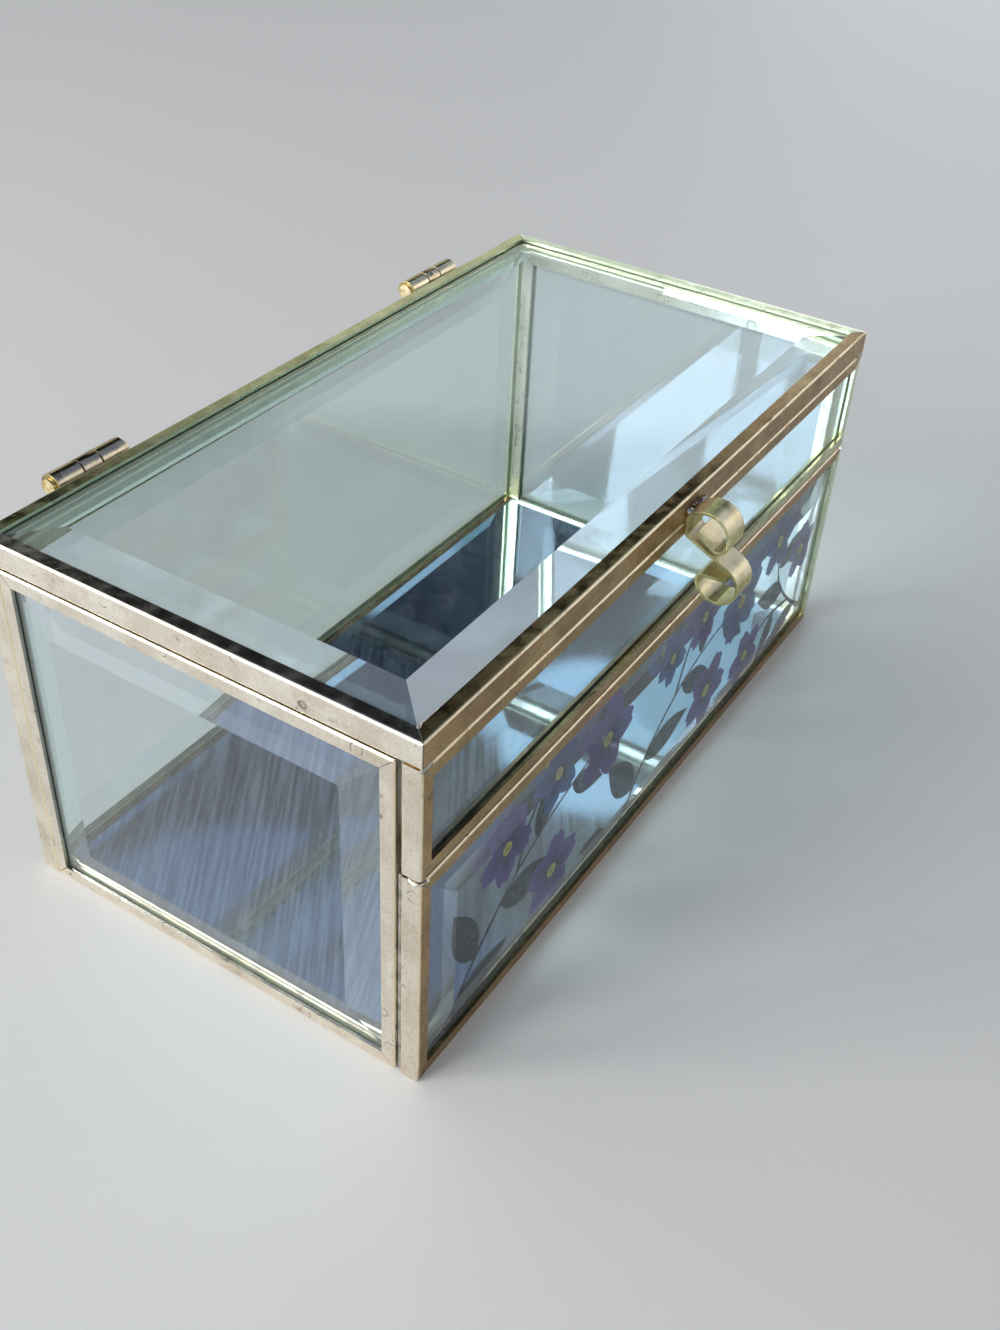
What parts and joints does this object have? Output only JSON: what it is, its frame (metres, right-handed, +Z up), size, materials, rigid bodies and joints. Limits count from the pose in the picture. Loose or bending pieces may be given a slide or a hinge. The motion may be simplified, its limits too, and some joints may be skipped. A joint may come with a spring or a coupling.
{
  "type": "glass casket box",
  "caption": "Small glass casket with bevelled panes in brass channel, a mirrored base, and a hinged lid with a drop-down front and a scrolled pull.",
  "frame": {"origin": "middle of the box's underside, on the surface that it stands on", "axes": "+X along the length to the right as seen from the front, +Y towards the back and the hinges, +Z up"},
  "size_m": [0.13, 0.0826, 0.0603],
  "materials": {
    "channel_brass": "aged brass channel, dull satin with dark spots and pale rubbed edges",
    "hinge_brass": "satin brass, brighter on the rubbed crowns",
    "pull_brass": "satin brass strip with bright edges",
    "bevelled_glass": "clear glass with a faint blue-green tint and polished bevels",
    "mirror": "silvered glass with a light haze",
    "solder": "dull grey solder",
    "backing_card": "dark brown backing card"
  },
  "bodies": {
    "tray": {"front_wall_channel_bottom": "channel_brass", "front_wall_channel_right": "channel_brass", "front_wall_channel_top": "channel_brass", "front_wall_channel_left": "channel_brass", "front_wall_glass": "bevelled_glass", "back_wall_channel_bottom": "channel_brass", "back_wall_channel_left": "channel_brass", "back_wall_channel_top": "channel_brass", "back_wall_channel_right": "channel_brass", "back_wall_glass": "bevelled_glass", "left_wall_channel_bottom": "channel_brass", "left_wall_channel_front": "channel_brass", "left_wall_channel_top": "channel_brass", "left_wall_channel_back": "channel_brass", "left_wall_glass": "bevelled_glass", "right_wall_channel_bottom": "channel_brass", "right_wall_channel_back": "channel_brass", "right_wall_channel_top": "channel_brass", "right_wall_channel_front": "channel_brass", "right_wall_glass": "bevelled_glass", "base_channel_front": "channel_brass", "base_channel_right": "channel_brass", "base_channel_back": "channel_brass", "base_channel_left": "channel_brass", "base_mirror": "mirror", "base_backing": "backing_card", "corner_solder_left": "solder", "corner_solder_right": "solder", "hinge_left_tray_knuckle": "hinge_brass", "hinge_left_pin": "hinge_brass", "hinge_right_tray_knuckle": "hinge_brass", "hinge_right_pin": "hinge_brass"},
    "lid": {"lid_channel_front": "channel_brass", "lid_channel_right": "channel_brass", "lid_channel_back": "channel_brass", "lid_channel_left": "channel_brass", "lid_glass": "bevelled_glass", "apron_channel_bottom": "channel_brass", "apron_channel_right": "channel_brass", "apron_channel_top": "channel_brass", "apron_channel_left": "channel_brass", "apron_glass": "bevelled_glass", "hinge_left_lid_knuckle_outer": "hinge_brass", "hinge_left_lid_knuckle_inner": "hinge_brass", "hinge_right_lid_knuckle_outer": "hinge_brass", "hinge_right_lid_knuckle_inner": "hinge_brass", "lid_pull": "pull_brass"}
  },
  "joints": [
    {"name": "lid_hinge", "type": "hinge", "parent": "tray", "child": "lid", "pos_m": [0, 0.03685, 0.0585], "axis": [-1, 0, 0], "range_deg": [0, 110]}
  ]
}
